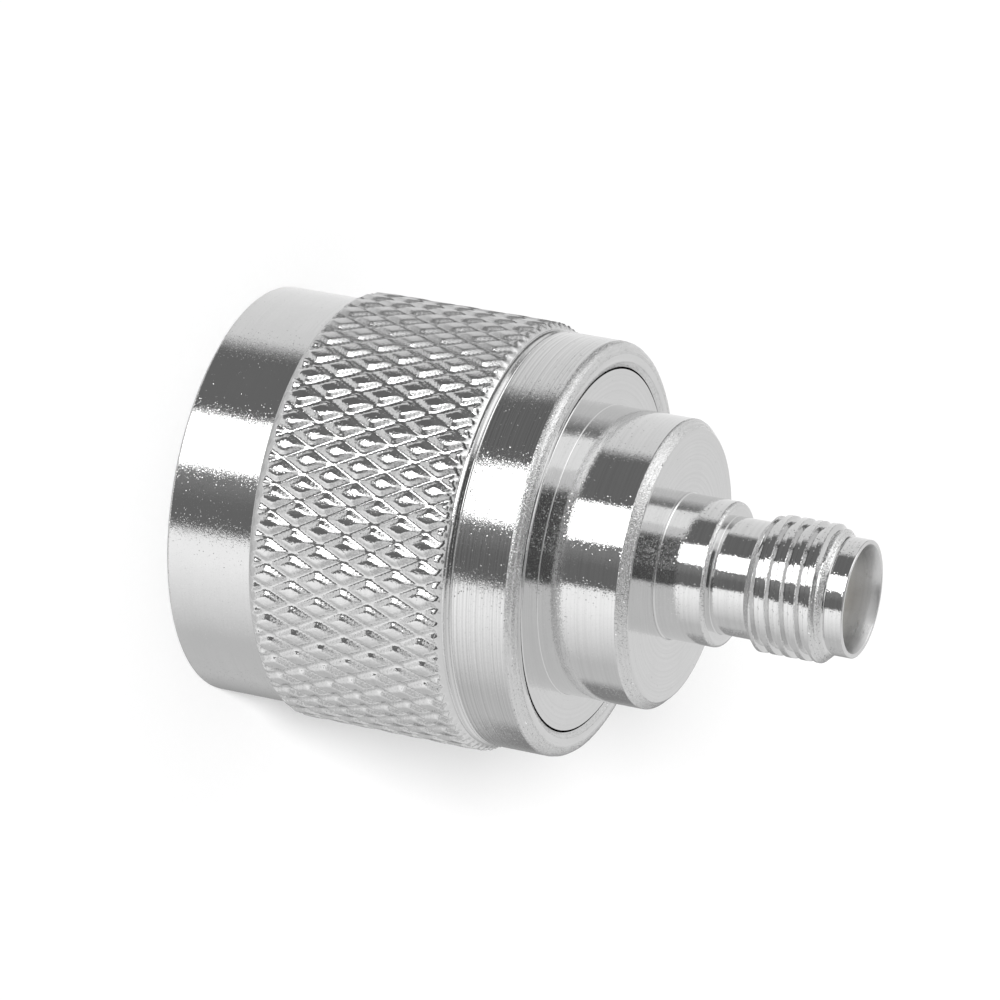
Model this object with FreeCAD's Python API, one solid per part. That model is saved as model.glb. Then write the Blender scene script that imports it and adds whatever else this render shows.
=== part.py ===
import FreeCAD, Part
import math
import os

# A coaxial adapter: screw-on plug of the N size at one end, small SMA-size jack at the other.
# It stands on the mouth of its coupling nut. Z runs along the axis from that mouth
# (Z = 0) to the mouth of the small jack. All sizes are millimetres.

# Coupling nut, outside
nut_length = 17.15
front_band_radius = 9.55
rear_band_radius = 9.63
mouth_edge_chamfer = 0.15
rear_edge_round = 0.45

# Knurl: raised diamonds between two families of crossing V grooves
knurl_start = 4.15
knurl_length = 9.75
knurl_crest_radius = 10.0
knurl_root_rise = 0.07          # groove bottoms stand this far above the front band
knurl_diamonds_around = 51
knurl_half_rows = 8             # each diamond is two half rows long
knurl_flat_share = 0.42         # part of a diamond's width that its flat top takes
knurl_relief_width = 0.24       # turned V groove between the knurl and the rear band
knurl_relief_depth = 0.14

# Coupling nut, inside: crests of the internal 5/8-24 thread, then a smooth bore
nut_thread_radius = 7.45
nut_thread_start = 0.75
nut_thread_length = 7.6
nut_thread_lead_in = 0.55
nut_thread_run_out = 0.6
nut_gap = 0.07                  # running clearance of the nut on the flange

# Split ring that keeps the nut on the body
ring_height = 0.9
ring_depth_in_body = 0.6
ring_depth_in_nut = 0.45
ring_from_nut_rear = 2.0
ring_side_gap = 0.1
ring_split = 1.6

# Outer contact: a slotted tube with a foot that the body clamps
contact_recess = 1.2            # from the nut's mouth to the contact's front edge
line_radius = 3.5               # bore of the tube
contact_wall = 0.55
contact_reach = 8.95            # from the contact's front edge to the gasket
contact_front_chamfer = 0.15
contact_slots = 4
contact_slot_width = 0.4
contact_slot_length = 4.8
foot_width = 0.95
foot_thickness = 0.8

# Gasket round the foot of the contact
gasket_thickness = 1.3
gasket_inner_gap = 0.55         # from the contact's outside
gasket_radius = 7.2
gasket_edge_chamfer = 0.25

# Body: flange inside the nut, collar behind it
flange_radius = 8.38
flange_front_chamfer = 0.3
flange_recess = 0.1             # the flange's rear face lies this far inside the nut
collar_radius = 6.7
collar_length = 4.2
collar_chamfer = 0.42
bore_step_from_flange_rear = 2.05

# Small jack
barrel_radius = 3.35
barrel_length = 2.43
barrel_chamfer = 0.2
jack_neck_radius = 2.7
jack_neck_length = 1.65
jack_thread_radius = 3.16       # crests of the external 1/4-36 thread
jack_thread_length = 3.72
jack_thread_lead_in = 0.4
jack_nose_length = 0.95
jack_mouth_chamfer = 0.08
socket_radius = 2.3
socket_depth = 1.9
shank_length = 3.5              # of the jack, pressed into the collar

# Insulators and centre conductor
small_line_radius = 2.05
fit_gap = 0.01                  # between pieces pressed or fitted into each other
bead_length = 4.0
pin_radius = 1.52
pin_tip_radius = 0.825
pin_shoulder_depth = 5.3        # behind the outer contact's front edge
pin_tip_recess = 0.1            # behind the outer contact's front edge
pin_tip_chamfer = 0.35
pin_shoulder_chamfer = 0.3
inner_radius = 0.635
inner_overlap = 2.8             # length of the small conductor inside the pin
finger_bore_radius = 0.47
finger_bore_depth = 2.8
finger_slots = 4
finger_slot_width = 0.18
finger_slot_length = 2.2
finger_chamfer = 0.1

# Places along the axis that several pieces share
contact_front = contact_recess
gasket_front = contact_front + contact_reach
flange_front = gasket_front + gasket_thickness
flange_rear = nut_length - flange_recess
bore_step = flange_rear - bore_step_from_flange_rear
collar_end = flange_rear + collar_length
shank_start = collar_end - shank_length
barrel_end = collar_end + barrel_length
jack_neck_end = barrel_end + jack_neck_length
jack_thread_end = jack_neck_end + jack_thread_length
jack_mouth = jack_thread_end + jack_nose_length
socket_floor = jack_mouth - socket_depth
knurl_end = knurl_start + knurl_length
ring_bottom = nut_length - ring_from_nut_rear - ring_height

# Radii that several pieces share
nut_bore_radius = flange_radius + nut_gap
contact_radius = line_radius + contact_wall
foot_radius = contact_radius + foot_width
gasket_inner_radius = contact_radius + gasket_inner_gap
knurl_root_radius = front_band_radius + knurl_root_rise
ring_groove_floor = flange_radius - ring_depth_in_body - ring_side_gap
ring_inner_radius = flange_radius - ring_depth_in_body
ring_outer_radius = nut_bore_radius + ring_depth_in_nut
nut_groove_radius = ring_outer_radius + ring_side_gap

AXIS = FreeCAD.Vector(0, 0, 1)
ORIGIN = FreeCAD.Vector(0, 0, 0)

# Corners of a diamond, in half diamonds round the nut and half rows along it
DIAMOND_CORNERS = {"west": (-1, 0), "north": (0, 1), "east": (1, 0), "south": (0, -1)}


def on_section(radius, height):
    """A point of a lengthwise section, in the plane Y = 0."""
    return FreeCAD.Vector(radius, 0, height)


def turned(section):
    """A solid turned from a closed section of (radius, height) points."""
    corners = [on_section(radius, height) for radius, height in section]
    face = Part.Face(Part.makePolygon(corners + corners[:1]))
    return face.revolve(ORIGIN, AXIS, 360)


def slotted(solid, count, width, low, high, reach):
    """Cut evenly spaced radial slots, each from the axis out to reach."""
    for number in range(count):
        blade = Part.makeBox(reach, width, high - low, FreeCAD.Vector(0, -width / 2, low))
        blade.rotate(ORIGIN, AXIS, 360 * number / count)
        solid = solid.cut(blade)
    return solid


def knurl_point(column, row, radius):
    """A point of the knurl's lattice. Columns are half diamonds round the nut."""
    angle = math.pi * column / knurl_diamonds_around
    height = knurl_start + knurl_length * row / knurl_half_rows
    return FreeCAD.Vector(radius * math.cos(angle), radius * math.sin(angle), height)


def knurl_diamond(column, row):
    """The planar facets of one raised diamond, cut in half at the knurl's two ends."""
    share = knurl_flat_share
    root = {}
    flat = {}
    for side, (across, along) in DIAMOND_CORNERS.items():
        root[side] = knurl_point(column + across, row + along, knurl_root_radius)
        flat[side] = knurl_point(column + share * across, row + share * along, knurl_crest_radius)
    edges = []
    if row < knurl_half_rows:
        edges += [("west", "north"), ("north", "east")]
    if row > 0:
        edges += [("east", "south"), ("south", "west")]
    facets = []
    for start, end in edges:
        facets.append([root[start], root[end], flat[end]])
        facets.append([root[start], flat[end], flat[start]])
    if row == 0:
        facets.append([flat["west"], flat["north"], flat["east"]])
    elif row == knurl_half_rows:
        facets.append([flat["east"], flat["south"], flat["west"]])
    else:
        facets.append([flat["south"], flat["west"], flat["north"]])
        facets.append([flat["north"], flat["east"], flat["south"]])
    return [Part.Face(Part.makePolygon(facet + facet[:1])) for facet in facets]


def knurl_end_face(row, inner_radius_here):
    """The flat ring between a turned band and the cut diamonds at one end of the knurl."""
    corners = []
    for column in range(2 * knurl_diamonds_around):
        if (column + row) % 2 == 0:
            corners.append(knurl_point(column, row, knurl_root_radius))
        else:
            corners.append(knurl_point(column - knurl_flat_share, row, knurl_crest_radius))
            corners.append(knurl_point(column + knurl_flat_share, row, knurl_crest_radius))
    outer = Part.makePolygon(corners + corners[:1])
    centre = FreeCAD.Vector(0, 0, corners[0].z)
    inner = Part.Wire(Part.makeCircle(inner_radius_here, centre))
    return Part.makeFace([outer, inner], "Part::FaceMakerBullseye").Faces[0]


def rounded_rear_edge():
    """Quarter arc from the rear band to the nut's rear face."""
    middle_angle = math.radians(45)
    centre_radius = rear_band_radius - rear_edge_round
    centre_height = nut_length - rear_edge_round
    start = on_section(rear_band_radius, centre_height)
    middle = on_section(centre_radius + rear_edge_round * math.cos(middle_angle),
                        centre_height + rear_edge_round * math.sin(middle_angle))
    end = on_section(centre_radius, nut_length)
    return Part.Arc(start, middle, end).toShape()


def coupling_nut():
    """Knurled nut: turned skin inside and out, closed by the faceted knurl."""
    relief_middle = knurl_end + knurl_relief_width / 2
    thread_end = nut_thread_start + nut_thread_length
    groove_low = ring_bottom - ring_side_gap
    groove_high = ring_bottom + ring_height + ring_side_gap
    behind_knurl = [
        (front_band_radius, knurl_end),
        (front_band_radius - knurl_relief_depth, relief_middle),
        (rear_band_radius, knurl_end + knurl_relief_width),
        (rear_band_radius, nut_length - rear_edge_round),
    ]
    rest = [
        (rear_band_radius - rear_edge_round, nut_length),
        (nut_bore_radius, nut_length),
        (nut_bore_radius, groove_high),
        (nut_groove_radius, groove_high),
        (nut_groove_radius, groove_low),
        (nut_bore_radius, groove_low),
        (nut_bore_radius, thread_end + nut_thread_run_out),
        (nut_thread_radius, thread_end),
        (nut_thread_radius, nut_thread_start),
        (nut_thread_radius + nut_thread_lead_in, nut_thread_start - nut_thread_lead_in),
        (nut_thread_radius + nut_thread_lead_in, 0),
        (front_band_radius - mouth_edge_chamfer, 0),
        (front_band_radius, mouth_edge_chamfer),
        (front_band_radius, knurl_start),
    ]
    edges = Part.makePolygon([on_section(*point) for point in behind_knurl]).Edges
    edges.append(rounded_rear_edge())
    edges += Part.makePolygon([on_section(*point) for point in rest]).Edges
    skin = Part.Wire(edges).revolve(ORIGIN, AXIS, 360)
    faces = list(skin.Faces)
    faces.append(knurl_end_face(0, front_band_radius))
    faces.append(knurl_end_face(knurl_half_rows, front_band_radius))
    for row in range(knurl_half_rows + 1):
        for column in range(2 * knurl_diamonds_around):
            if (column + row) % 2 == 1:
                faces += knurl_diamond(column, row)
    shell = Part.makeShell(faces)
    shell.sewShape()
    solid = Part.Solid(shell)
    if solid.Volume < 0:
        solid.reverse()
    return solid


def retaining_ring():
    """Split ring, seated on the floor side of the body's groove."""
    ring = turned([
        (ring_inner_radius, ring_bottom),
        (ring_outer_radius, ring_bottom),
        (ring_outer_radius, ring_bottom + ring_height),
        (ring_inner_radius, ring_bottom + ring_height),
    ])
    return slotted(ring, 1, ring_split, ring_bottom, ring_bottom + ring_height, 2 * ring_outer_radius)


def outer_contact():
    """Springy slotted tube with a foot at the flange and a shank in the body."""
    tube = turned([
        (line_radius, contact_front),
        (contact_radius - contact_front_chamfer, contact_front),
        (contact_radius, contact_front + contact_front_chamfer),
        (contact_radius, flange_front),
        (foot_radius, flange_front),
        (foot_radius, flange_front + foot_thickness),
        (contact_radius, flange_front + foot_thickness),
        (contact_radius, bore_step),
        (line_radius, bore_step),
    ])
    return slotted(tube, contact_slots, contact_slot_width, contact_front,
                   contact_front + contact_slot_length, foot_radius)


def gasket():
    """Soft flat ring on the flange, round the contact's foot."""
    edge = gasket_edge_chamfer
    return turned([
        (gasket_inner_radius, gasket_front + edge),
        (gasket_inner_radius + edge, gasket_front),
        (gasket_radius - edge, gasket_front),
        (gasket_radius, gasket_front + edge),
        (gasket_radius, flange_front),
        (gasket_inner_radius, flange_front),
    ])


def main_body():
    """Flange and collar in one turning, bored through for both ends."""
    groove_top = ring_bottom + ring_height + ring_side_gap
    return turned([
        (foot_radius + fit_gap, flange_front),
        (flange_radius - flange_front_chamfer, flange_front),
        (flange_radius, flange_front + flange_front_chamfer),
        (flange_radius, ring_bottom),
        (ring_groove_floor, ring_bottom),
        (ring_groove_floor, groove_top),
        (flange_radius, groove_top),
        (flange_radius, flange_rear),
        (collar_radius, flange_rear),
        (collar_radius, collar_end - collar_chamfer),
        (collar_radius - collar_chamfer, collar_end),
        (barrel_radius + fit_gap, collar_end),
        (barrel_radius + fit_gap, shank_start),
        (small_line_radius + fit_gap, shank_start),
        (small_line_radius + fit_gap, bore_step),
        (contact_radius + fit_gap, bore_step),
        (contact_radius + fit_gap, flange_front + foot_thickness),
        (foot_radius + fit_gap, flange_front + foot_thickness),
    ])


def jack_body():
    """Small jack: pressed shank, barrel, neck, thread crests, nose and socket."""
    thread_rise = jack_thread_radius - jack_neck_radius
    return turned([
        (small_line_radius + fit_gap, shank_start),
        (barrel_radius, shank_start),
        (barrel_radius, barrel_end - barrel_chamfer),
        (barrel_radius - barrel_chamfer, barrel_end),
        (jack_neck_radius, barrel_end),
        (jack_neck_radius, jack_neck_end),
        (jack_thread_radius, jack_neck_end + jack_thread_lead_in),
        (jack_thread_radius, jack_thread_end - thread_rise),
        (jack_neck_radius, jack_thread_end),
        (jack_neck_radius, jack_mouth - jack_mouth_chamfer),
        (jack_neck_radius - jack_mouth_chamfer, jack_mouth),
        (socket_radius, jack_mouth),
        (socket_radius, socket_floor),
        (small_line_radius + fit_gap, socket_floor),
    ])


def pin_insulator():
    """Bead that holds the large pin in the outer contact."""
    return turned([
        (pin_radius + fit_gap, bore_step - bead_length),
        (line_radius - fit_gap, bore_step - bead_length),
        (line_radius - fit_gap, bore_step),
        (pin_radius + fit_gap, bore_step),
    ])


def jack_insulator():
    """Sleeve round the small conductor, from the bead to the socket's floor."""
    return turned([
        (inner_radius + fit_gap, bore_step),
        (small_line_radius, bore_step),
        (small_line_radius, socket_floor),
        (inner_radius + fit_gap, socket_floor),
    ])


def centre_pin():
    """Large pin with its slim tip, bored at the back for the small conductor."""
    shoulder = contact_front + pin_shoulder_depth
    tip = contact_front + pin_tip_recess
    hole_floor = bore_step - inner_overlap
    return turned([
        (0, tip),
        (pin_tip_radius - pin_tip_chamfer, tip),
        (pin_tip_radius, tip + 2 * pin_tip_chamfer),
        (pin_tip_radius, shoulder),
        (pin_radius - pin_shoulder_chamfer, shoulder),
        (pin_radius, shoulder + pin_shoulder_chamfer),
        (pin_radius, bore_step),
        (inner_radius + fit_gap, bore_step),
        (inner_radius + fit_gap, hole_floor),
        (0, hole_floor),
    ])


def jack_contact():
    """Small conductor: its back end sits in the pin, its front is a slotted, springy socket."""
    back = bore_step - inner_overlap
    rod = turned([
        (0, back),
        (inner_radius, back),
        (inner_radius, socket_floor - finger_chamfer),
        (inner_radius - finger_chamfer / 2, socket_floor),
        (finger_bore_radius, socket_floor),
        (finger_bore_radius, socket_floor - finger_bore_depth),
        (0, socket_floor - finger_bore_depth),
    ])
    return slotted(rod, finger_slots, finger_slot_width,
                   socket_floor - finger_slot_length, socket_floor, 2 * inner_radius)


PIECES = {
    "coupling_nut": coupling_nut,
    "retaining_ring": retaining_ring,
    "outer_contact": outer_contact,
    "gasket": gasket,
    "main_body": main_body,
    "jack_body": jack_body,
    "pin_insulator": pin_insulator,
    "jack_insulator": jack_insulator,
    "centre_pin": centre_pin,
    "jack_contact": jack_contact,
}

os.makedirs("parts", exist_ok=True)
for name, build in PIECES.items():
    shape = build()
    shape.exportStep("parts/" + name + ".step")
    box = shape.BoundBox
    print("%-15s solids %d valid %s volume %.2f z %.2f to %.2f radius %.2f" % (
        name, len(shape.Solids), shape.isValid(), shape.Volume, box.ZMin, box.ZMax, box.XMax))
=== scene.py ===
import math

import bmesh
import bpy
from mathutils import Matrix, Vector


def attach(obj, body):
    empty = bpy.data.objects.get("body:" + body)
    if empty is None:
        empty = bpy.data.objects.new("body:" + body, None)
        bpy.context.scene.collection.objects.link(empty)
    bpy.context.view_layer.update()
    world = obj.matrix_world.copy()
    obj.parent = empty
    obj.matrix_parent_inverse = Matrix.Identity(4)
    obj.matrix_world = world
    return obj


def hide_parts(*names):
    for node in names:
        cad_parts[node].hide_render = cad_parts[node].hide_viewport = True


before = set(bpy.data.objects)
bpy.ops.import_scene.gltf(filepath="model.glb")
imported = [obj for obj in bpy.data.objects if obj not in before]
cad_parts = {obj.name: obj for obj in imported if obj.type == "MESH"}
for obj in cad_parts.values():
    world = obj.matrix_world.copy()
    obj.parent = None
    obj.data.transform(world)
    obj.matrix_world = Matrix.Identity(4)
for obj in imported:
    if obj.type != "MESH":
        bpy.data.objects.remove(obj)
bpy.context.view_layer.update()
scene = bpy.context.scene
scene.view_settings.view_transform = "Standard"

# The camera: a long lens a quarter of a metre away, looking a little down on the small jack's
# side. It is rolled, so that the adapter, which stands on its nut, lies along the picture.
MM = 0.001
camera_place = Vector((-1.465, -222.87, 100.26)) * MM
camera_right = Vector((-0.1791, 0.3622, 0.9147)).normalized()
camera_back = Vector((0, -0.9297, 0.3682)).normalized()
camera_up = camera_back.cross(camera_right)
camera_data = bpy.data.cameras.new("camera")
camera_data.sensor_width = 36
camera_data.lens = 187.77
camera_data.clip_start = 0.01
camera = bpy.data.objects.new("camera", camera_data)
turn = Matrix((camera_right, camera_up, camera_back)).transposed().to_4x4()
camera.matrix_world = Matrix.Translation(camera_place) @ turn
scene.collection.objects.link(camera)
scene.camera = camera


# The coupling nut: brass bar, turned, knurled with raised diamonds, threaded inside and
# plated with bright nickel. It turns freely on the flange of the body.
def linear(hex_code):
    """An sRGB hex colour as the linear colour that the nodes take."""
    channels = [int(hex_code[place:place + 2], 16) / 255 for place in (1, 3, 5)]
    return [c / 12.92 if c <= 0.04045 else ((c + 0.055) / 1.055) ** 2.4 for c in channels] + [1]


def add_node(tree, kind, inputs, **settings):
    """Add a node, set its properties, then give or link its inputs."""
    made = tree.nodes.new(kind)
    for name, value in settings.items():
        setattr(made, name, value)
    for place, value in inputs.items():
        if isinstance(value, bpy.types.NodeSocket):
            tree.links.new(value, made.inputs[place])
        else:
            made.inputs[place].default_value = value
    return made.outputs


def new_material(name):
    """An empty node material and its output node."""
    material = bpy.data.materials.new(name)
    material.use_nodes = True
    material.node_tree.nodes.clear()
    output = material.node_tree.nodes.new("ShaderNodeOutputMaterial")
    return material, material.node_tree, output


def plated(name, colours, roughness, ring, ring_marks, speck, speck_tilt, grain, grain_tilt,
           ring_colour="#DEDEDE", satin=0.0):
    """Plated metal. Sizes are in mm, tilts are the slopes that a pattern gives the surface.

    Rings are the marks of the turning tool round the axis, and ring_marks is how much duller
    they are. Specks are small facets under the plate that each lean their own way, a few of
    them much. Grain is a fine waviness. The real ones are a few hundredths of a millimetre or
    less, and all three are drawn as coarse as they need to show. Over some millimetres colour
    and gloss drift between the two colours. satin is how much duller the plate is on its -X
    side, which lay away from the anode of the bath."""
    cloud = 1.6                  # mm, the size of the patches that drift
    satin_start = -5.4           # mm along X
    satin_full = -7.8
    speck_spread = 6.0           # the larger, the fewer specks lean much
    material, tree, output = new_material(name)
    place = add_node(tree, "ShaderNodeTexCoord", {})["Object"]
    flat = add_node(tree, "ShaderNodeVectorMath", {0: place, 1: (1, 1, 0)}, operation="MULTIPLY")
    radius = add_node(tree, "ShaderNodeVectorMath", {0: flat[0]}, operation="LENGTH")["Value"]
    height = add_node(tree, "ShaderNodeSeparateXYZ", {0: place})["Z"]
    section = add_node(tree, "ShaderNodeCombineXYZ", {"X": radius, "Y": height})[0]
    rings = add_node(tree, "ShaderNodeTexNoise", {
        "Vector": section, "Scale": 1 / (ring * MM), "Detail": 2.0})["Fac"]
    marks = add_node(tree, "ShaderNodeMapRange", {
        "Value": rings, "From Min": 0.42, "From Max": 0.64})[0]
    clouds = add_node(tree, "ShaderNodeTexNoise", {
        "Vector": place, "Scale": 1 / (cloud * MM), "Detail": 3.0})["Fac"]
    colour = add_node(tree, "ShaderNodeMix", {
        "Factor": clouds, 6: linear(colours[0]), 7: linear(colours[1])}, data_type="RGBA")[2]
    colour = add_node(tree, "ShaderNodeMix", {
        "Factor": marks, 6: colour, 7: linear(ring_colour)}, data_type="RGBA")[2]
    dull = add_node(tree, "ShaderNodeMapRange", {
        "Value": clouds, "From Min": 0.3, "From Max": 0.7,
        "To Min": roughness * 0.8, "To Max": roughness * 1.2})[0]
    rough = add_node(tree, "ShaderNodeMath", {0: marks, 1: ring_marks, 2: dull},
                     operation="MULTIPLY_ADD")[0]
    if satin:
        side = add_node(tree, "ShaderNodeSeparateXYZ", {0: place})["X"]
        duller = add_node(tree, "ShaderNodeMapRange", {
            "Value": side, "From Min": satin_start * MM, "From Max": satin_full * MM,
            "To Max": satin})[0]
        rough = add_node(tree, "ShaderNodeMath", {0: rough, 1: duller})[0]
    grains = add_node(tree, "ShaderNodeTexNoise", {
        "Vector": place, "Scale": 1 / (grain * MM), "Detail": 2.0})["Fac"]
    normal = add_node(tree, "ShaderNodeBump", {
        "Height": grains, "Distance": grain * grain_tilt * MM, "Strength": 1.0})[0]
    cells = add_node(tree, "ShaderNodeTexVoronoi", {
        "Vector": place, "Scale": 1 / (speck * MM)})["Color"]
    lean = add_node(tree, "ShaderNodeVectorMath", {0: cells, 1: (2, 2, 2), 2: (-1, -1, -1)},
                    operation="MULTIPLY_ADD")[0]
    much = add_node(tree, "ShaderNodeVectorMath", {0: lean}, operation="LENGTH")["Value"]
    much = add_node(tree, "ShaderNodeMath", {0: much, 1: speck_spread},
                    operation="POWER")[0]
    much = add_node(tree, "ShaderNodeMath", {0: much, 1: speck_tilt}, operation="MULTIPLY")[0]
    lean = add_node(tree, "ShaderNodeVectorMath", {0: lean, "Scale": much}, operation="SCALE")[0]
    normal = add_node(tree, "ShaderNodeVectorMath", {0: normal, 1: lean})[0]
    normal = add_node(tree, "ShaderNodeVectorMath", {0: normal}, operation="NORMALIZE")[0]
    shader = add_node(tree, "ShaderNodeBsdfPrincipled", {
        "Base Color": colour, "Metallic": 1.0, "Roughness": rough, "Normal": normal})[0]
    tree.links.new(shader, output.inputs["Surface"])
    return material


def turned(section, steps, roundings, start=0.0):
    """A mesh spun about the axis from a closed section of (radius, height) points in mm.

    roundings gives the radius of a rounded corner by its place in the section."""
    mesh = bmesh.new()
    line = [mesh.verts.new((radius, 0, height)) for radius, height in section]
    for first, second in zip(line, line[1:] + line[:1]):
        mesh.edges.new((first, second))
    for place, size in roundings.items():
        bmesh.ops.bevel(mesh, geom=[line[place]], offset=size, segments=4, profile=0.5,
                        affect="VERTICES", material=-1)
    bmesh.ops.rotate(mesh, verts=mesh.verts, matrix=Matrix.Rotation(start, 3, "Z"))
    bmesh.ops.spin(mesh, geom=mesh.verts[:] + mesh.edges[:], axis=(0, 0, 1), cent=(0, 0, 0),
                   angle=2 * math.pi, steps=steps, use_merge=True)
    bmesh.ops.remove_doubles(mesh, verts=mesh.verts, dist=0.00001)
    bmesh.ops.recalc_face_normals(mesh, faces=mesh.faces)
    return mesh


def finished(mesh, name, body, node, materials, choose, sharp=-1):
    """Turn a mesh into the piece that stands for a node, its shading ruled by its large faces.

    choose gives the place in materials for the radius, height and angle of a face. Faces are
    shaded apart where the cosine of the angle between them is under sharp."""
    for face in mesh.faces:
        face.smooth = True
        centre = face.calc_center_median()
        face.material_index = choose(centre.xy.length, centre.z,
                                     math.atan2(centre.y, centre.x))
    bmesh.ops.scale(mesh, verts=mesh.verts, vec=(MM, MM, MM))
    data = bpy.data.meshes.new(name)
    mesh.to_mesh(data)
    mesh.free()
    round_vertex = [[] for _ in data.vertices]
    for polygon in data.polygons:
        for corner in polygon.vertices:
            round_vertex[corner].append((polygon.normal.copy(), polygon.area))
    normals = []
    for polygon in data.polygons:
        own = polygon.normal.copy()
        for corner in polygon.vertices:
            total = Vector()
            for normal, area in round_vertex[corner]:
                if normal.dot(own) >= sharp:
                    total += normal * area
            normals.append(total.normalized())
    data.normals_split_custom_set(normals)
    for material in materials:
        data.materials.append(material)
    piece = bpy.data.objects.new(name, data)
    scene.collection.objects.link(piece)
    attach(piece, body)
    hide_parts(node)


# Bright nickel gives the eye a pale mirror with a sprinkle of fine grey specks. On the front
# band the tool's marks hardly show, and on the rear band they draw fine grey lines. On the
# knurl the mirror is wavy and softer, and on a torn edge it breaks up into a pale grain.
nickel_colours = ("#E8E8E8", "#DEDEDE")
nickel_front = plated("bright nickel plate, turned", nickel_colours, 0.05, ring=0.12,
                      ring_marks=0.04, speck=0.036, speck_tilt=0.009, grain=0.05,
                      grain_tilt=0.05, ring_colour="#E2E2E2")
nickel_rear = plated("bright nickel plate, turned in lines", nickel_colours, 0.05, ring=0.09,
                     ring_marks=0.10, speck=0.045, speck_tilt=0.010, grain=0.05,
                     grain_tilt=0.05, ring_colour="#D0D0D0")
nickel_knurl = plated("bright nickel plate, knurled", nickel_colours, 0.06, ring=0.3,
                      ring_marks=0.0, speck=0.05, speck_tilt=0.008, grain=0.10, grain_tilt=0.09,
                      satin=0.24)
nickel_edge = plated("bright nickel plate, torn edges", nickel_colours, 0.12, ring=0.08,
                     ring_marks=0.08, speck=0.05, speck_tilt=0.05, grain=0.06, grain_tilt=0.4)

nut_length = 17.15
front_radius = 9.55
rear_radius = 9.63
nut_bore = 8.45                  # runs on the flange of the body
nut_shoulder = 8.97              # the bore ends here, towards the mouth
ring_groove = 9.0                # holds the retaining ring
ring_groove_low = 14.15
ring_groove_high = 15.25
mouth_radius = 8.0
knurl_start = 4.15
knurl_end = 13.9
start_slope = 1.1                # of the chamfers at the knurl's ends
end_slope = 1.6
chamfer_rows = (0.06, 0.13)      # extra mesh rows on the first of them
row_margin = 0.02                # the least distance of a row from the knurl's ends
land_start = 13.7                # a plain turned strip ends the knurl
land_radius = 9.68
crest_radius = 10.0
root_radius = 9.78
diamonds = 51
rising_lead = 0.427              # turns of a groove's phase per mm, one family of grooves
falling_lead = 0.367             # and the other, which the second knurling wheel left steeper
half_row = 1 / (rising_lead + falling_lead)
first_crossing = 3.90            # a height where two grooves cross, at first_angle
first_angle = math.radians(257.37)
splits = 7                       # mesh columns to half a diamond, mesh rows to half a row
flank_share = 3 / splits         # of the way from a groove to a diamond's middle
dome_across = 3.0                # radius of a diamond's domed top, round the nut
dome_along = 6.5                 # and along it
mouth_thread_low = 0.75
mouth_thread_high = 8.35
mouth_thread_pitch = 1.0583
mouth_crest = 7.45
mouth_root = 7.92
mouth_fall_start = 0.87          # shares of half a turn, where the crest's flat ends
mouth_fall_share = 0.62          # and that the slope takes
mouth_lead_in = 0.1
mouth_run_out = 0.3
mouth_lines = 44                 # mesh rows of the whole thread


def skew(height):
    """How far the diamonds' columns lean round the nut at a height, as an angle."""
    lean = (falling_lead - rising_lead) / 2 * 2 * math.pi / diamonds
    return lean * (min(max(height, knurl_start), knurl_end) - first_crossing)


def knurled(angle, height):
    """Radius of the knurl: two families of crossing V grooves that leave domed diamonds."""
    across = (angle - first_angle) * diamonds / (2 * math.pi)
    along = height - first_crossing
    first = (across + rising_lead * along) % 1 - 0.5
    second = (across - falling_lead * along) % 1 - 0.5
    climb = min(1, (1 - 2 * max(abs(first), abs(second))) / flank_share)
    width = 2 * math.pi * crest_radius / diamonds
    from_middle = (falling_lead * first + rising_lead * second) * half_row * width
    up_middle = (first - second) * half_row
    sag = from_middle ** 2 / (2 * dome_across) + up_middle ** 2 / (2 * dome_along)
    radius = root_radius + (crest_radius - root_radius - sag) * climb
    start_chamfer = front_radius + (height - knurl_start) * start_slope
    end_chamfer = land_radius + (land_start - height) * end_slope
    return min(radius, start_chamfer, max(land_radius, end_chamfer))


def mouth_thread(angle, height):
    """Radius of the internal right-hand thread, with its lead-in and run-out cones."""
    turn_share = (height / mouth_thread_pitch - angle / (2 * math.pi)) % 1
    from_crest = abs(turn_share - 0.5) * 2
    depth = min(1, max(0, (mouth_fall_start - from_crest) / mouth_fall_share))
    radius = mouth_crest + (mouth_root - mouth_crest) * depth
    lead_in = mouth_crest + (mouth_thread_low + mouth_lead_in - height)
    run_out = mouth_crest + (height - mouth_thread_high + mouth_run_out)
    return max(radius, lead_in, run_out)


knurl_rows = []
step = half_row / splits
place = first_crossing + step * math.ceil((knurl_start + row_margin - first_crossing) / step)
while place < land_start - row_margin:
    knurl_rows.append(place)
    place += step
knurl_rows = sorted(knurl_rows + [knurl_start + row for row in chamfer_rows] + [land_start])
thread_rows = [mouth_thread_low + (mouth_thread_high - mouth_thread_low) * number / mouth_lines
               for number in range(mouth_lines + 1)]
# Outside from the mouth up to the rear edge, then down the bore to the mouth again. Between
# the land and the rear band lies a small turned groove, and a hair line rings the rear face.
nut_section = [(front_radius, 0), (front_radius, knurl_start)]
nut_section += [(crest_radius, row) for row in knurl_rows]
nut_section += [(land_radius, land_start + 0.04), (land_radius - 0.01, 13.98), (9.5, 14.02),
                (9.62, 14.07), (9.62, 14.12), (9.52, 14.15), (rear_radius, 14.2),
                (rear_radius, nut_length), (9.08, nut_length), (9.05, 17.12),
                (9.02, nut_length), (8.73, nut_length), (8.47, 17.01), (nut_bore, 16.99),
                (nut_bore, ring_groove_high), (ring_groove, ring_groove_high),
                (ring_groove, ring_groove_low), (nut_bore, ring_groove_low),
                (nut_bore, nut_shoulder)]
nut_section += [(mouth_crest, row) for row in reversed(thread_rows)]
nut_section += [(mouth_radius, 0.2), (mouth_radius, 0)]
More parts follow.
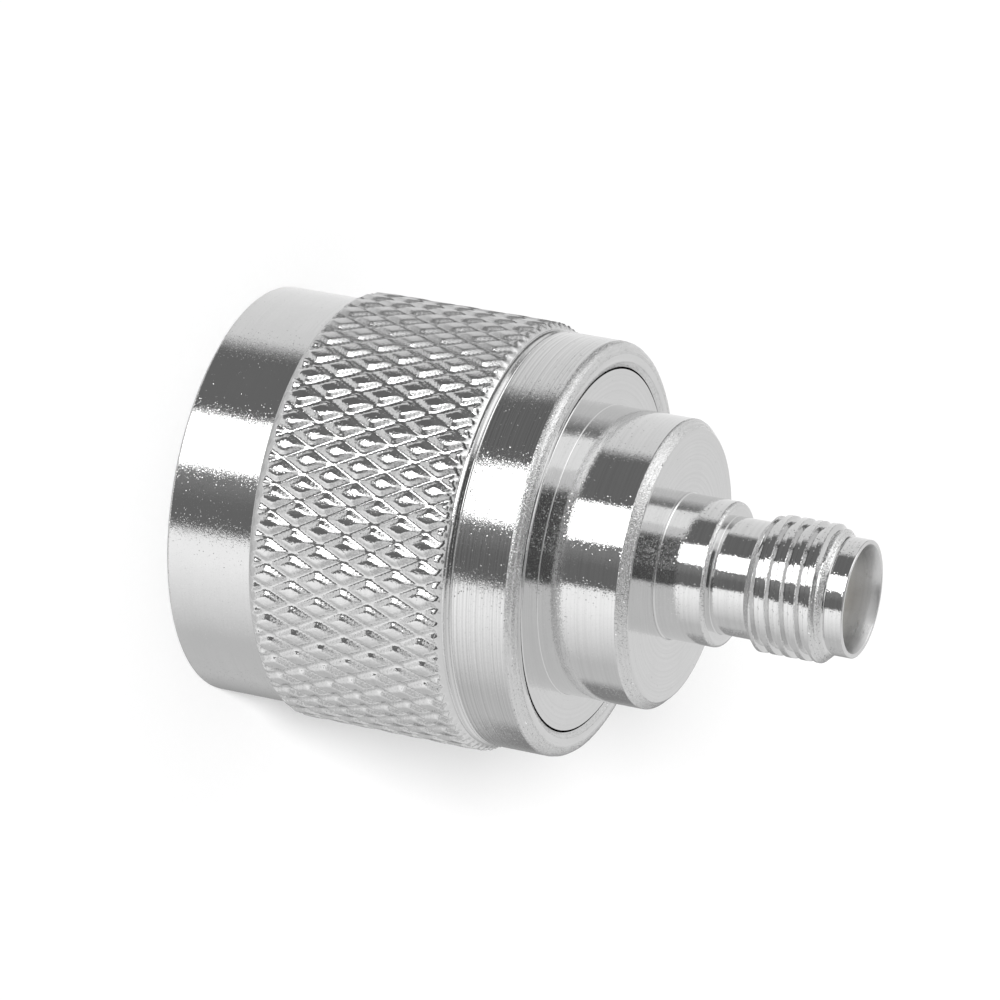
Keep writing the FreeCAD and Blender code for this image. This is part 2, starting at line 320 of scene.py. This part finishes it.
nut_roundings = {0: 0.12, nut_section.index((rear_radius, nut_length)): 0.45,
                 len(nut_section) - 1: 0.12}
nut = turned(nut_section, 2 * diamonds * splits, nut_roundings, first_angle)
for vert in nut.verts:
    angle = math.atan2(vert.co.y, vert.co.x)
    radius = vert.co.xy.length
    height = vert.co.z
    if radius > crest_radius - 0.1:
        vert.co.xy *= knurled(angle + skew(height), height) / radius
    elif radius < mouth_crest + 0.1 and height < mouth_thread_high + 0.01:
        vert.co.xy *= mouth_thread(angle, height) / radius
    vert.co = Matrix.Rotation(skew(height), 3, "Z") @ vert.co
# The knurl's squares are cut along the groove beside them, so that its bottom runs straight
outside = 9.1                    # mm, a radius that only the nut's outside passes
grooves = {1: [], -1: []}
for face in nut.faces:
    centre = face.calc_center_median()
    if centre.xy.length > outside and knurl_start < centre.z < land_start:
        angle = math.atan2(centre.y, centre.x) - skew(centre.z)
        column = math.floor((angle - first_angle) * diamonds / math.pi)
        row = math.floor((centre.z - first_crossing) / half_row)
        grooves[1 if (column + row) % 2 else -1].append(face)
bmesh.ops.triangulate(nut, faces=grooves[1], quad_method="FIXED")
bmesh.ops.triangulate(nut, faces=grooves[-1], quad_method="ALTERNATE")


def nut_finish(radius, height, angle):
    """The place in the nut's materials of the knurl, torn edges, rear band and the rest."""
    outer_edge = radius > outside and (height > 16.72 or height < 0.1)
    inner_edge = radius < 8.72 and height > 17.0
    if outer_edge or inner_edge:
        return 2
    if radius > outside and height > knurl_start:
        return 1 if height < land_start else 3
    return 0


finished(nut, "nut", "nut", "coupling_nut",
         [nickel_front, nickel_knurl, nickel_edge, nickel_rear], nut_finish)

# The body: flange and collar in one brass turning, plated with bright nickel. The flange
# fills the back of the nut, and its rear face and the collar are the clearest mirrors.
flange_front = 11.45
flange_rear = 17.05
flange_radius = 8.38
body_groove = 7.68               # holds the retaining ring
collar_radius = 6.7
collar_end = 21.25
socket_radius = 3.36             # the jack is pressed into it
socket_floor = 17.75
line_radius = 2.06               # round the insulator
body_section = [
    (5.01, flange_front), (8.08, flange_front), (flange_radius, 11.75), (flange_radius, 14.25),
    (body_groove, 14.25), (body_groove, 15.25), (flange_radius, 15.25),
    (flange_radius, flange_rear), (collar_radius, flange_rear), (collar_radius, 20.83),
    (6.28, collar_end), (socket_radius, collar_end), (socket_radius, socket_floor),
    (line_radius, socket_floor), (line_radius, 15.0), (4.06, 15.0), (4.06, 12.25),
    (5.01, 12.25)]
nickel_mirror = plated("bright nickel plate, mirror turned", nickel_colours, 0.04, ring=0.12,
                       ring_marks=0.03, speck=0.045, speck_tilt=0.007, grain=0.06,
                       grain_tilt=0.03)
body = turned(body_section, 288, {7: 0.06, 8: 0.04, 9: 0.08, 10: 0.06, 11: 0.03})


def body_finish(radius, height, angle):
    """The place in the body's materials: the collar's torn chamfer, or the mirror."""
    return 1 if 20.8 < height < 21.23 and radius > 6.2 else 0


finished(body, "body", "adapter", "main_body",
         [nickel_mirror, nickel_edge], body_finish)

# The small jack: a brass turning pressed into the collar, with its external right-hand
# thread of 36 turns to the inch, plated with bright nickel.
barrel_radius = 3.35
barrel_bead = 3.4                # the fine line where the barrel leaves the collar
barrel_end = 23.68
neck_radius = 2.7
jack_end = 30.0
mouth_edge = 2.5                 # countersunk from here
jack_bore = 2.3                  # to the bore, which the insulator closes at jack_floor
jack_floor = 28.1
jack_pitch = 25.4 / 36
jack_crest = 3.16
jack_root = 2.93
jack_thread_low = 25.33
jack_thread_high = 29.05
jack_first_crest = 25.80
jack_lines = 24                  # mesh rows to one turn of the thread
row_count = int((jack_thread_high - jack_thread_low) / jack_pitch * jack_lines) + 1
jack_rows = [jack_thread_low + number * jack_pitch / jack_lines for number in range(row_count)]
crest_share = 10 / jack_lines    # shares of half a turn, that the crest's flat takes
slope_share = 8 / jack_lines     # and the slope
run_out_slope = 1.15


def jack_thread(angle, height):
    """Radius of the external thread, with its starting cone and its run-out cone."""
    turn_share = ((height - jack_first_crest) / jack_pitch - angle / (2 * math.pi)) % 1
    from_crest = min(turn_share, 1 - turn_share) * 2
    fall = min(1, max(0, (from_crest - crest_share) / slope_share))
    radius = jack_crest - (jack_crest - jack_root) * fall
    start_cone = neck_radius + (jack_thread_high - height)
    run_out = neck_radius + (height - jack_thread_low) * run_out_slope
    return min(radius, start_cone, run_out)


def along_thread(angle):
    """How far the rows move at an angle, so that they run along the thread's turns."""
    lines = ((jack_thread_low - jack_first_crest) / jack_pitch
             - angle / (2 * math.pi)) * jack_lines
    return (round(lines) - lines) * jack_pitch / jack_lines


jack_section = [
    (line_radius, socket_floor), (barrel_radius, socket_floor), (barrel_radius, 21.2),
    (barrel_bead, 21.26), (barrel_bead, 21.29), (barrel_radius, 21.34),
    (barrel_radius, barrel_end), (neck_radius, barrel_end)]
jack_section += [(neck_radius, row) for row in jack_rows]
jack_section += [
    (neck_radius, 29.12), (2.66, 29.15), (neck_radius, 29.18), (neck_radius, jack_end),
    (mouth_edge, jack_end), (jack_bore, 29.4), (jack_bore, jack_floor),
    (line_radius, jack_floor)]
jack = turned(jack_section, 240, {
    6: 0.2, 7: 0.05, jack_section.index((neck_radius, jack_end)): 0.06,
    jack_section.index((mouth_edge, jack_end)): 0.05})
for vert in jack.verts:
    in_thread = jack_thread_low - 0.001 < vert.co.z < jack_thread_high + 0.001
    if in_thread and vert.co.xy.length > mouth_edge:
        angle = math.atan2(vert.co.y, vert.co.x)
        if jack_rows[0] + 0.001 < vert.co.z < jack_rows[-1] - 0.001:
            vert.co.z += along_thread(angle)
        vert.co.xy *= jack_thread(angle, vert.co.z) / vert.co.xy.length


def jack_finish(radius, height, angle):
    """The place in the jack's materials of the bore, torn edges and the mirror.

    Torn are the barrel's edge, both ends of the thread and one side of its crest."""
    if radius < mouth_edge + 0.01 and height < jack_end - 0.01:
        return 2
    barrel_edge = 23.45 < height < 23.67
    thread_end = jack_thread_low < height < 25.7 or height > 28.62
    if radius > neck_radius + 0.05 and (barrel_edge or thread_end):
        return 1
    turn_share = ((height - jack_first_crest) / jack_pitch - angle / (2 * math.pi)) % 1
    on_crest = radius > 3.0 and height > jack_thread_low
    return 1 if on_crest and 0.11 < turn_share < 0.21 else 0


# The boring bar leaves the bore satin, so that it looks an even grey from the mouth.
nickel_bore = plated("bright nickel plate, bored", nickel_colours, 0.32, ring=0.12,
                     ring_marks=0.08, speck=0.05, speck_tilt=0.01, grain=0.06, grain_tilt=0.08)
finished(jack, "jack", "adapter", "jack_body",
         [nickel_mirror, nickel_edge, nickel_bore], jack_finish, sharp=0.8)

# The retaining ring: spring bronze wire, bent round and snapped into the groove between body
# and nut, where it carries the nut. Drawn wire looks a reddish brown with a half gloss. The
# ring keeps the CAD solid's shape, as all the pieces inside do.
def assigned(node, material):
    """Give a carried-over solid its material."""
    data = bpy.data.objects[node].data
    data.materials.clear()
    data.materials.append(material)


assigned("retaining_ring", plated(
    "spring bronze", ("#C58F57", "#B27A45"), 0.24, ring=0.06, ring_marks=0.10, speck=0.07,
    speck_tilt=0.01, grain=0.06, grain_tilt=0.08, ring_colour="#9C6A3C"))

# The outer contact: a brass sleeve turned thin and slotted at its front so that it springs,
# with white bronze plate that is a little greyer and warmer than the nickel.
assigned("outer_contact", plated(
    "white bronze plate", ("#D5D1C8", "#C7C3B9"), 0.16, ring=0.07, ring_marks=0.10, speck=0.06,
    speck_tilt=0.01, grain=0.06, grain_tilt=0.06, ring_colour="#B9B5AB"))

# The gasket: a ring moulded of brick-red silicone rubber, that lies against the flange inside
# the nut and is pressed by the mating connector. Its skin is matt, with a fine moulded grain
# that is drawn as coarse as it needs to show.
gasket_red, tree, output = new_material("silicone rubber, brick red")
gasket_place = add_node(tree, "ShaderNodeTexCoord", {})["Object"]
gasket_clouds = add_node(tree, "ShaderNodeTexNoise", {
    "Vector": gasket_place, "Scale": 1 / (0.9 * MM), "Detail": 4.0})["Fac"]
gasket_colour = add_node(tree, "ShaderNodeMix", {
    "Factor": gasket_clouds, 6: linear("#A8402C"), 7: linear("#8E3222")}, data_type="RGBA")[2]
gasket_rough = add_node(tree, "ShaderNodeMapRange", {
    "Value": gasket_clouds, "To Min": 0.48, "To Max": 0.66})[0]
gasket_skin = add_node(tree, "ShaderNodeTexNoise", {
    "Vector": gasket_place, "Scale": 1 / (0.05 * MM), "Detail": 3.0})["Fac"]
gasket_normal = add_node(tree, "ShaderNodeBump", {
    "Height": gasket_skin, "Distance": 0.006 * MM, "Strength": 1.0})[0]
gasket_rubber = add_node(tree, "ShaderNodeBsdfPrincipled", {
    "Base Color": gasket_colour, "Roughness": gasket_rough, "IOR": 1.42,
    "Normal": gasket_normal})[0]
tree.links.new(gasket_rubber, output.inputs["Surface"])
assigned("gasket", gasket_red)


# The two insulators: turned of PTFE and pressed into the body, one round the pin and one
# round the socket. PTFE looks waxy white, slightly translucent and half matt.
def turned_ptfe(name, ring):
    """Milky PTFE with the fine rings of the tool, ring mm apart."""
    material, tree, output = new_material(name)
    place = add_node(tree, "ShaderNodeTexCoord", {})["Object"]
    flat = add_node(tree, "ShaderNodeVectorMath", {0: place, 1: (1, 1, 0)}, operation="MULTIPLY")
    radius = add_node(tree, "ShaderNodeVectorMath", {0: flat[0]}, operation="LENGTH")["Value"]
    rings = add_node(tree, "ShaderNodeTexNoise", {
        "W": radius, "Scale": 1 / (ring * MM), "Detail": 2.0}, noise_dimensions="1D")["Fac"]
    clouds = add_node(tree, "ShaderNodeTexNoise", {
        "Vector": place, "Scale": 1 / (1.2 * MM), "Detail": 3.0})["Fac"]
    colour = add_node(tree, "ShaderNodeMix", {
        "Factor": clouds, 6: linear("#F4F3EE"), 7: linear("#EAE8E1")}, data_type="RGBA")[2]
    rough = add_node(tree, "ShaderNodeMapRange", {
        "Value": rings, "To Min": 0.30, "To Max": 0.48})[0]
    normal = add_node(tree, "ShaderNodeBump", {
        "Height": rings, "Distance": ring * 0.1 * MM, "Strength": 1.0})[0]
    shader = add_node(tree, "ShaderNodeBsdfPrincipled", {
        "Base Color": colour, "Roughness": rough, "IOR": 1.35, "Normal": normal,
        "Subsurface Weight": 0.35, "Subsurface Radius": (1, 1, 1),
        "Subsurface Scale": 0.4 * MM})[0]
    tree.links.new(shader, output.inputs["Surface"])
    return material


assigned("pin_insulator", turned_ptfe("PTFE, turned, pin side", 0.09))
assigned("jack_insulator", turned_ptfe("PTFE, turned, socket side", 0.07))

# The centre contacts: a pin and a socket turned of brass and beryllium copper. Their thin gold
# plate takes the mating contact's rubbing, and looks a warm yellow with a soft gloss.
gold_colours = ("#E9BD62", "#DDAC4F")
assigned("centre_pin", plated(
    "gold plate, pin", gold_colours, 0.14, ring=0.05, ring_marks=0.10, speck=0.05,
    speck_tilt=0.008, grain=0.05, grain_tilt=0.05, ring_colour="#CE9B42"))
assigned("jack_contact", plated(
    "gold plate, socket", gold_colours, 0.18, ring=0.05, ring_marks=0.12, speck=0.05,
    speck_tilt=0.010, grain=0.05, grain_tilt=0.05, ring_colour="#C8943C"))

# The studio: an even pale floor, one large soft lamp, and round the part the light and dark
# panels that bright metal is photographed between. Only reflections see the panels.
floor_mesh = bmesh.new()
bmesh.ops.create_circle(floor_mesh, cap_ends=True, radius=1.5, segments=96)
floor_data = bpy.data.meshes.new("floor")
floor_mesh.to_mesh(floor_data)
floor_mesh.free()
floor = bpy.data.objects.new("floor", floor_data)
scene.collection.objects.link(floor)
floor.visible_glossy = False
fibre = 1 / 3                    # mm, coarser than real paper's, and still hardly seen
paper, tree, output = new_material("white paper")
paper_place = add_node(tree, "ShaderNodeTexCoord", {})["Object"]
fibres = add_node(tree, "ShaderNodeTexNoise", {
    "Vector": paper_place, "Scale": 1 / (fibre * MM)})["Fac"]
sheet_colour = add_node(tree, "ShaderNodeMix", {
    "Factor": fibres, 6: linear("#FBFBFB"), 7: linear("#FDFDFD")}, data_type="RGBA")[2]
sheet = add_node(tree, "ShaderNodeBsdfDiffuse", {"Color": sheet_colour})[0]
tree.links.new(sheet, output.inputs["Surface"])
floor_data.materials.append(paper)

lamp_data = bpy.data.lights.new("lamp", "SUN")
lamp_data.energy = 3.6
lamp_data.angle = math.radians(11)
lamp = bpy.data.objects.new("lamp", lamp_data)
lamp_from = Vector((-0.085, -0.9, 0.42))
lamp.rotation_euler = lamp_from.to_track_quat("Z", "Y").to_euler()
lamp.visible_glossy = False
scene.collection.objects.link(lamp)

world = bpy.data.worlds.new("studio")
scene.world = world
world.use_nodes = True
tree = world.node_tree
tree.nodes.clear()
toward = add_node(tree, "ShaderNodeTexCoord", {})["Generated"]
parts = add_node(tree, "ShaderNodeSeparateXYZ", {0: toward})
mirrored = [add_node(tree, "ShaderNodeMath", {0: parts[axis], 1: -1.0}, operation="MULTIPLY")[0]
            for axis in ("X", "Y")]
azimuth = add_node(tree, "ShaderNodeMath", {0: mirrored[0], 1: mirrored[1]},
                   operation="ARCTAN2")[0]
azimuth = add_node(tree, "ShaderNodeMath", {0: azimuth, 1: 180 / math.pi},
                   operation="MULTIPLY")[0]
rise = add_node(tree, "ShaderNodeMath", {0: parts["Z"]}, operation="ARCSINE")[0]
rise = add_node(tree, "ShaderNodeMath", {0: rise, 1: 180 / math.pi}, operation="MULTIPLY")[0]


def panel(low, high, edge, value):
    """One where value lies between low and high degrees, falling to nothing over edge."""
    rising = add_node(tree, "ShaderNodeMapRange", {
        "Value": value, "From Min": low - edge, "From Max": low + edge})[0]
    falling = add_node(tree, "ShaderNodeMapRange", {
        "Value": value, "From Min": high - edge, "From Max": high + edge,
        "To Min": 1.0, "To Max": 0.0})[0]
    return add_node(tree, "ShaderNodeMath", {0: rising, 1: falling}, operation="MULTIPLY")[0]


# Each panel: azimuth from and to and its soft edge, rise from and to and its soft edge, all in
# degrees, then brightness. Azimuth 0 is the camera's side, and it grows towards -X. A later
# panel hangs in front of the earlier ones.
panels = [
    (130, 300, 35, -50, 3, 6, 0.9),
    (-200, -28, 1.5, -100, -8, 4, 0.60),
    (-70, -5, 26, -48, -12, 4, 1.08),
    (-200, -30, 1.5, -12, 16, 4, 0.82),
    (-200, -150, 15, -100, 8, 6, 0.35),
    (-160, -124, 6, -22, -18.7, 1, 0.25),
    (-95, -42, 4, -6, 3, 1.5, 0.52),
    (-29.5, 6.6, 1.2, -46, 0, 3, 0.16),
    (-6, 6.6, 6, -46, 0, 3, 0.25),
    (20, 85, 5, -46, 3, 4, 0.16),
    (65, 148, 5, -15.5, 1.6, 1, 0.18),
    (55, 130, 4, 2.2, 16, 0.8, 0.82),
    (-200, 200, 1, -120, -43, 2.5, 0.86),
    (-200, 200, 1, -120, -53, 2, 0.64),
    (-40, -12, 3, 0, 9.2, 0.8, 0.58),
    (-12, 20, 3, 0, 9.2, 0.8, 0.80),
    (8, 62, 3, 9.2, 17, 0.6, 0.80),
    (-8, 9, 3, 9.2, 17, 0.8, 0.95),
    (-38, -9, 3, 9.4, 17, 0.7, 0.10),
    (-33, 44, 2, 17, 45, 1.5, 0.09),
    (92, 114, 12, 15, 34, 3, 0.20),
    (46, 70, 9, 15, 34, 3, 0.9),
    (60, 95, 1.5, 15, 34, 3, 1.2),
    (50, 125, 6, 33, 60, 5, 1.6),
    (-200, 200, 1, 64, 100, 5, 0.2),
    (6.6, 36, 0.8, -27, 0, 1.5, 3.5),
    (16, 43, 2, 0, 7.6, 0.5, 1.5),
    (41, 61, 2, 0, 5.6, 0.5, 1.5),
]
light = linear("#E3E3E3")
for left, right, side_edge, low, high, end_edge, brightness in panels:
    across = panel(left, right, side_edge, azimuth)
    along = panel(low, high, end_edge, rise)
    mask = add_node(tree, "ShaderNodeMath", {0: across, 1: along}, operation="MULTIPLY")[0]
    light = add_node(tree, "ShaderNodeMix", {
        "Factor": mask, 6: light, 7: (brightness, brightness, brightness, 1)},
        data_type="RGBA")[2]
path = add_node(tree, "ShaderNodeLightPath", {})
plain = add_node(tree, "ShaderNodeBackground", {"Color": linear("#FFFFFF"), "Strength": 0.6})[0]
reflected = add_node(tree, "ShaderNodeBackground", {"Color": light, "Strength": 1.0})[0]
white = add_node(tree, "ShaderNodeBackground", {"Color": linear("#FFFFFF"), "Strength": 1.0})[0]
seen = add_node(tree, "ShaderNodeMixShader", {0: path["Is Glossy Ray"], 1: plain, 2: reflected})[0]
seen = add_node(tree, "ShaderNodeMixShader", {0: path["Is Camera Ray"], 1: seen, 2: white})[0]
output = tree.nodes.new("ShaderNodeOutputWorld")
tree.links.new(seen, output.inputs["Surface"])
